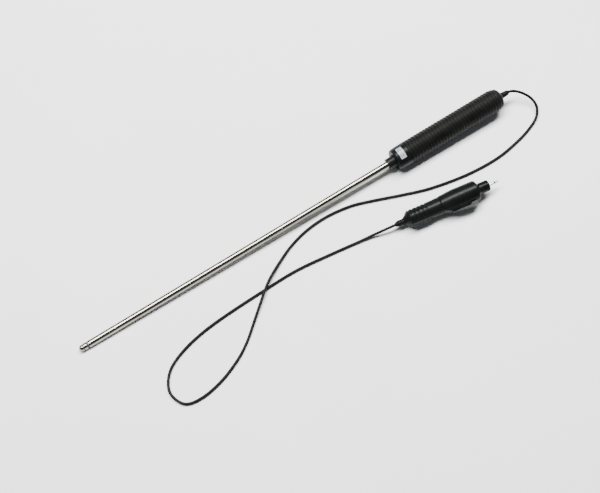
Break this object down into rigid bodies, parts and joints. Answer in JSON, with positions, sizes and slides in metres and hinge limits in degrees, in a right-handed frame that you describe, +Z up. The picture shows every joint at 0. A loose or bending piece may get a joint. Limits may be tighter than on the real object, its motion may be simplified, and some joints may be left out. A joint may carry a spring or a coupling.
{
  "type": "grain moisture meter probe",
  "caption": "Hand-held grain moisture probe: a slim steel lance with insulated electrodes at its tip, a ribbed grip, and a free lead with a latching plug.",
  "frame": {"origin": "on the ground plane, at the middle of the lance's length from its nose to the end of the grip's strain relief, under the lance's axis", "axes": "+X runs from the nose electrode to the grip, +Z is up, +Y completes the set; the plug lies on the -Y side"},
  "size_m": [0.6442, 0.1425, 0.0324],
  "materials": {
    "stainless_steel": "polished stainless steel with fine lengthwise marks",
    "insulator": "smooth black insulating resin",
    "liner": "smooth white liner tube",
    "cap_plastic": "fine-grained black polymer",
    "core_plastic": "plain moulded dark grey polymer",
    "grip_rubber": "soft ribbed black rubber",
    "seal_rubber": "black seal rubber",
    "boot_rubber": "soft black moulded rubber",
    "pad_rubber": "soft dark grey rubber",
    "label_film": null,
    "board_laminate": "green solder mask",
    "terminal_plastic": "moulded green plastic",
    "red_insulation": "red wire insulation",
    "blue_insulation": "blue wire insulation",
    "white_insulation": "white wire insulation",
    "lead_jacket": "smooth flexible black jacket",
    "plug_plastic": "semi-gloss moulded black plastic",
    "screw_steel": "zinc-plated steel",
    "spring_steel": "drawn spring wire",
    "crimp_brass": "plain crimped brass",
    "jack_plating": "bright nickel plating"
  },
  "bodies": {
    "probe": {"tip_electrode": "stainless_steel", "tip_insulator": "insulator", "ring_electrode": "stainless_steel", "ring_insulator": "insulator", "lance_tube": "stainless_steel", "centre_rod": "stainless_steel", "inner_liner": "liner", "ring_conductor": "stainless_steel", "outer_liner": "liner", "gland_nut": "cap_plastic", "gland_seal": "seal_rubber", "front_cap": "cap_plastic", "grub_screws": "screw_steel", "handle_core": "core_plastic", "grip_sleeve": "grip_rubber", "rear_cap": "cap_plastic", "label": "label_film", "board_cradle": "core_plastic", "terminal_board": "board_laminate", "board_screws": "screw_steel", "terminal_block": "terminal_plastic", "terminal_screws": "screw_steel", "tip_wire": "red_insulation", "ring_wire": "blue_insulation", "lead_tip_core": "red_insulation", "lead_ring_core": "white_insulation", "lead_inner_end": "lead_jacket", "lead_ferrule": "crimp_brass", "strain_relief": "boot_rubber", "lead": "lead_jacket", "plug_boot": "boot_rubber", "lead_plug_end": "lead_jacket", "cord_clamp": "core_plastic", "clamp_screws": "screw_steel", "plug_rear_shell": "plug_plastic", "thumb_pad": "pad_rubber", "plug_front_shell": "plug_plastic", "plug_tip_core": "red_insulation", "plug_ring_core": "white_insulation", "nose_collar": "plug_plastic", "nose_ring": "plug_plastic", "jack_sleeve": "jack_plating", "jack_insulator": "insulator", "jack_tip": "jack_plating", "latch_pin": "screw_steel", "latch_spring": "spring_steel"},
    "latch": {"latch_lever": "plug_plastic"}
  },
  "joints": [
    {"name": "latch_hinge", "type": "hinge", "parent": "probe", "child": "latch", "pos_m": [0.16964, -0.09628, 0.01322], "axis": [0.0378, -0.0058, -0.9993], "range_deg": [0, 6], "stiffness_Nm_per_rad": 0.05, "springref_deg": -8.59, "deforming": ["latch_spring"]}
  ]
}
